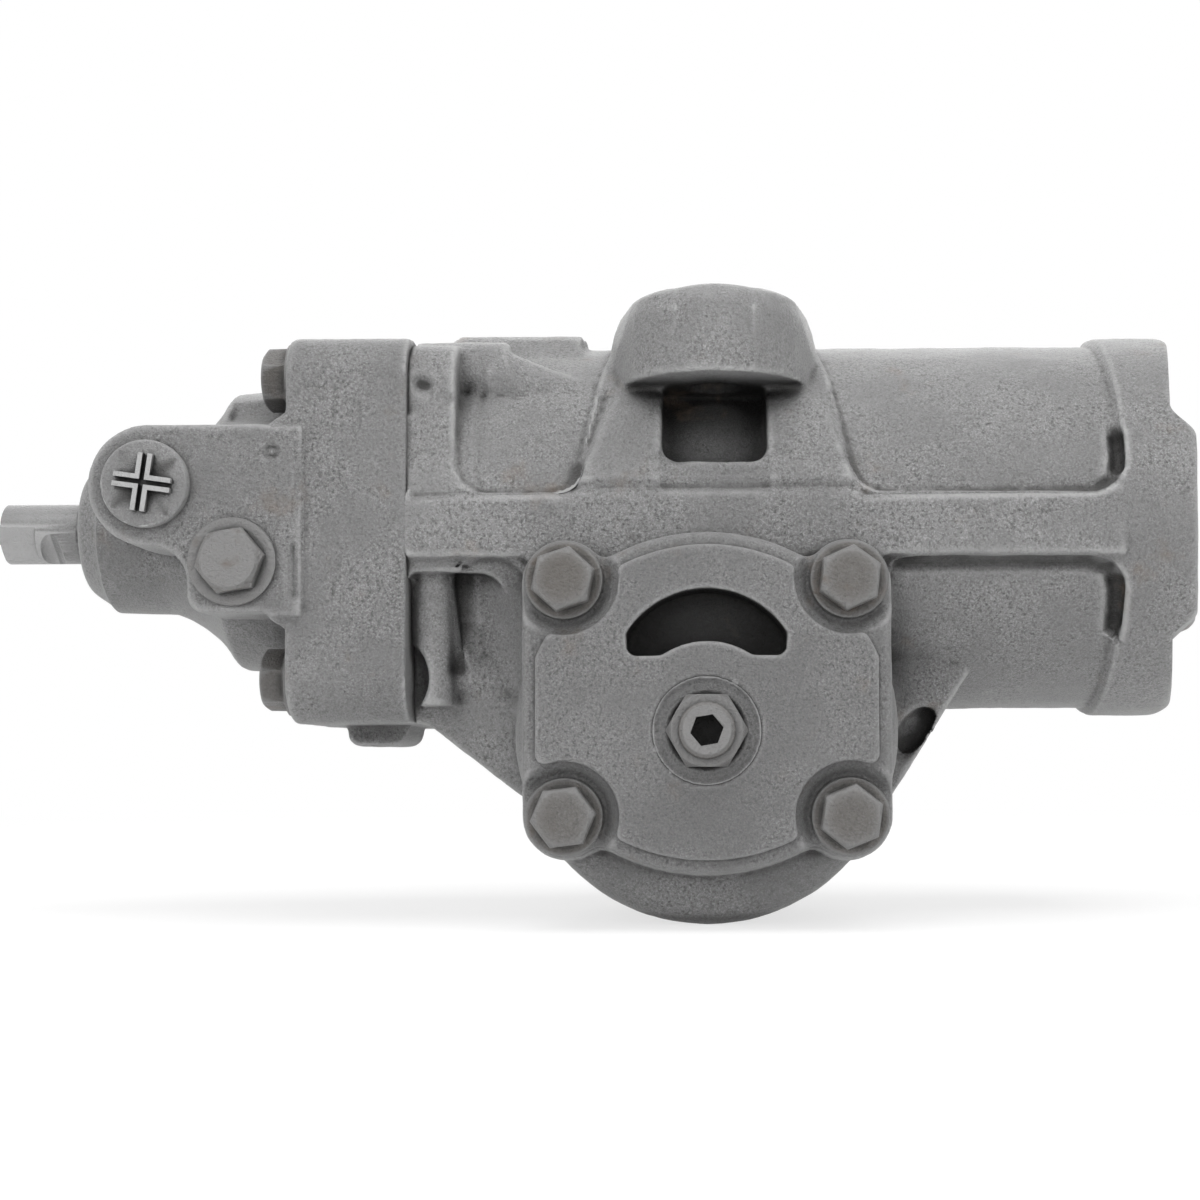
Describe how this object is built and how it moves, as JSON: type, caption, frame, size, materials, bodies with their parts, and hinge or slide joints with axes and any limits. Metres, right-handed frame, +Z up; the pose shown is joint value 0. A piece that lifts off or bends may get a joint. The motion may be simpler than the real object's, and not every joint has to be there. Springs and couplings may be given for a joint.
{
  "type": "steering gear",
  "caption": "Integral power steering gear: an input shaft and worm drive a rack piston in a cast housing, whose rack swings a splined sector shaft.",
  "frame": {"origin": "axis of the front frame bolt hole, on the mounting face at the top of the tower", "axes": "+X along the worm from the input shaft to the closed end of the cylinder, +Y from the side cover to the output shaft, +Z up out of the mounting face"},
  "size_m": [0.3822, 0.2234, 0.184],
  "materials": {
    "cast_coat": "dull grey coat over sandy as-cast iron",
    "bolt_steel": "same grey coat on plain steel, semi-matt",
    "shaft_coat": "thin grey coat on turned steel",
    "cap_coat": "grey coat on a pressed cap",
    "machined_steel": "ground steel, lightly oiled",
    "bearing_bronze": "bearing bronze",
    "brass_seat": "turned brass",
    "ptfe": "filled fluoropolymer",
    "seal_rubber": "black nitrile rubber"
  },
  "bodies": {
    "housing": {"gear_housing": "cast_coat", "valve_housing": "cast_coat", "sector_cover": "cast_coat", "cover_bolts": "bolt_steel", "valve_housing_bolts": "bolt_steel", "adjuster_locknut": "bolt_steel", "return_port_plug": "bolt_steel", "pressure_port_cap": "cap_coat", "port_seats": "brass_seat", "cover_bushing": "bearing_bronze", "cover_seal_ring": "seal_rubber", "housing_joint_ring": "seal_rubber", "sector_oil_seal": "seal_rubber", "sector_dust_seal": "seal_rubber", "sector_needle_bearing": "machined_steel", "sector_snap_ring": "machined_steel", "worm_thrust_bearings": "machined_steel", "bearing_race_nut": "machined_steel", "input_needle_bearing": "machined_steel", "input_seal": "seal_rubber", "input_dust_seal": "seal_rubber", "input_snap_ring": "machined_steel"},
    "worm": {"worm_shaft": "machined_steel", "valve_sleeve": "machined_steel", "sleeve_rings": "ptfe", "valve_drive_pin": "machined_steel", "torsion_bar": "machined_steel", "torsion_bar_pin": "machined_steel"},
    "rack": {"rack_piston": "machined_steel", "piston_ring": "ptfe", "recirculating_balls": "machined_steel", "ball_return_guide": "machined_steel", "guide_clamp": "machined_steel", "guide_screws": "machined_steel"},
    "sector": {"sector_shaft": "machined_steel"},
    "input": {"input_shaft": "shaft_coat"},
    "adjuster": {"adjuster_screw": "bolt_steel", "adjuster_shim": "machined_steel"}
  },
  "joints": [
    {"name": "worm_turn", "type": "hinge", "parent": "housing", "child": "worm", "pos_m": [-0.0026, 0.0435, -0.063], "axis": [1, 0, 0], "range_deg": [-720, 720]},
    {"name": "rack_slide", "type": "slide", "parent": "housing", "child": "rack", "axis": [1, 0, 0], "range_m": [-0.02513, 0.02513]},
    {"name": "sector_turn", "type": "hinge", "parent": "housing", "child": "sector", "pos_m": [-0.0026, 0.0435, -0.128], "axis": [0, 1, 0], "range_deg": [-45.01, 45.01]},
    {"name": "input_twist", "type": "hinge", "parent": "worm", "child": "input", "pos_m": [-0.2126, 0.0435, -0.063], "axis": [1, 0, 0], "range_deg": [-4.5, 4.5], "stiffness_Nm_per_rad": 75},
    {"name": "adjuster_turn", "type": "hinge", "parent": "housing", "child": "adjuster", "pos_m": [-0.0026, -0.0365, -0.128], "axis": [0, 1, 0], "range_deg": [-45, 45]}
  ],
  "couplings": [
    {"joint": "worm_turn", "follows": "rack_slide", "rad_per_m": -500},
    {"joint": "sector_turn", "follows": "rack_slide", "rad_per_m": 31.25}
  ]
}
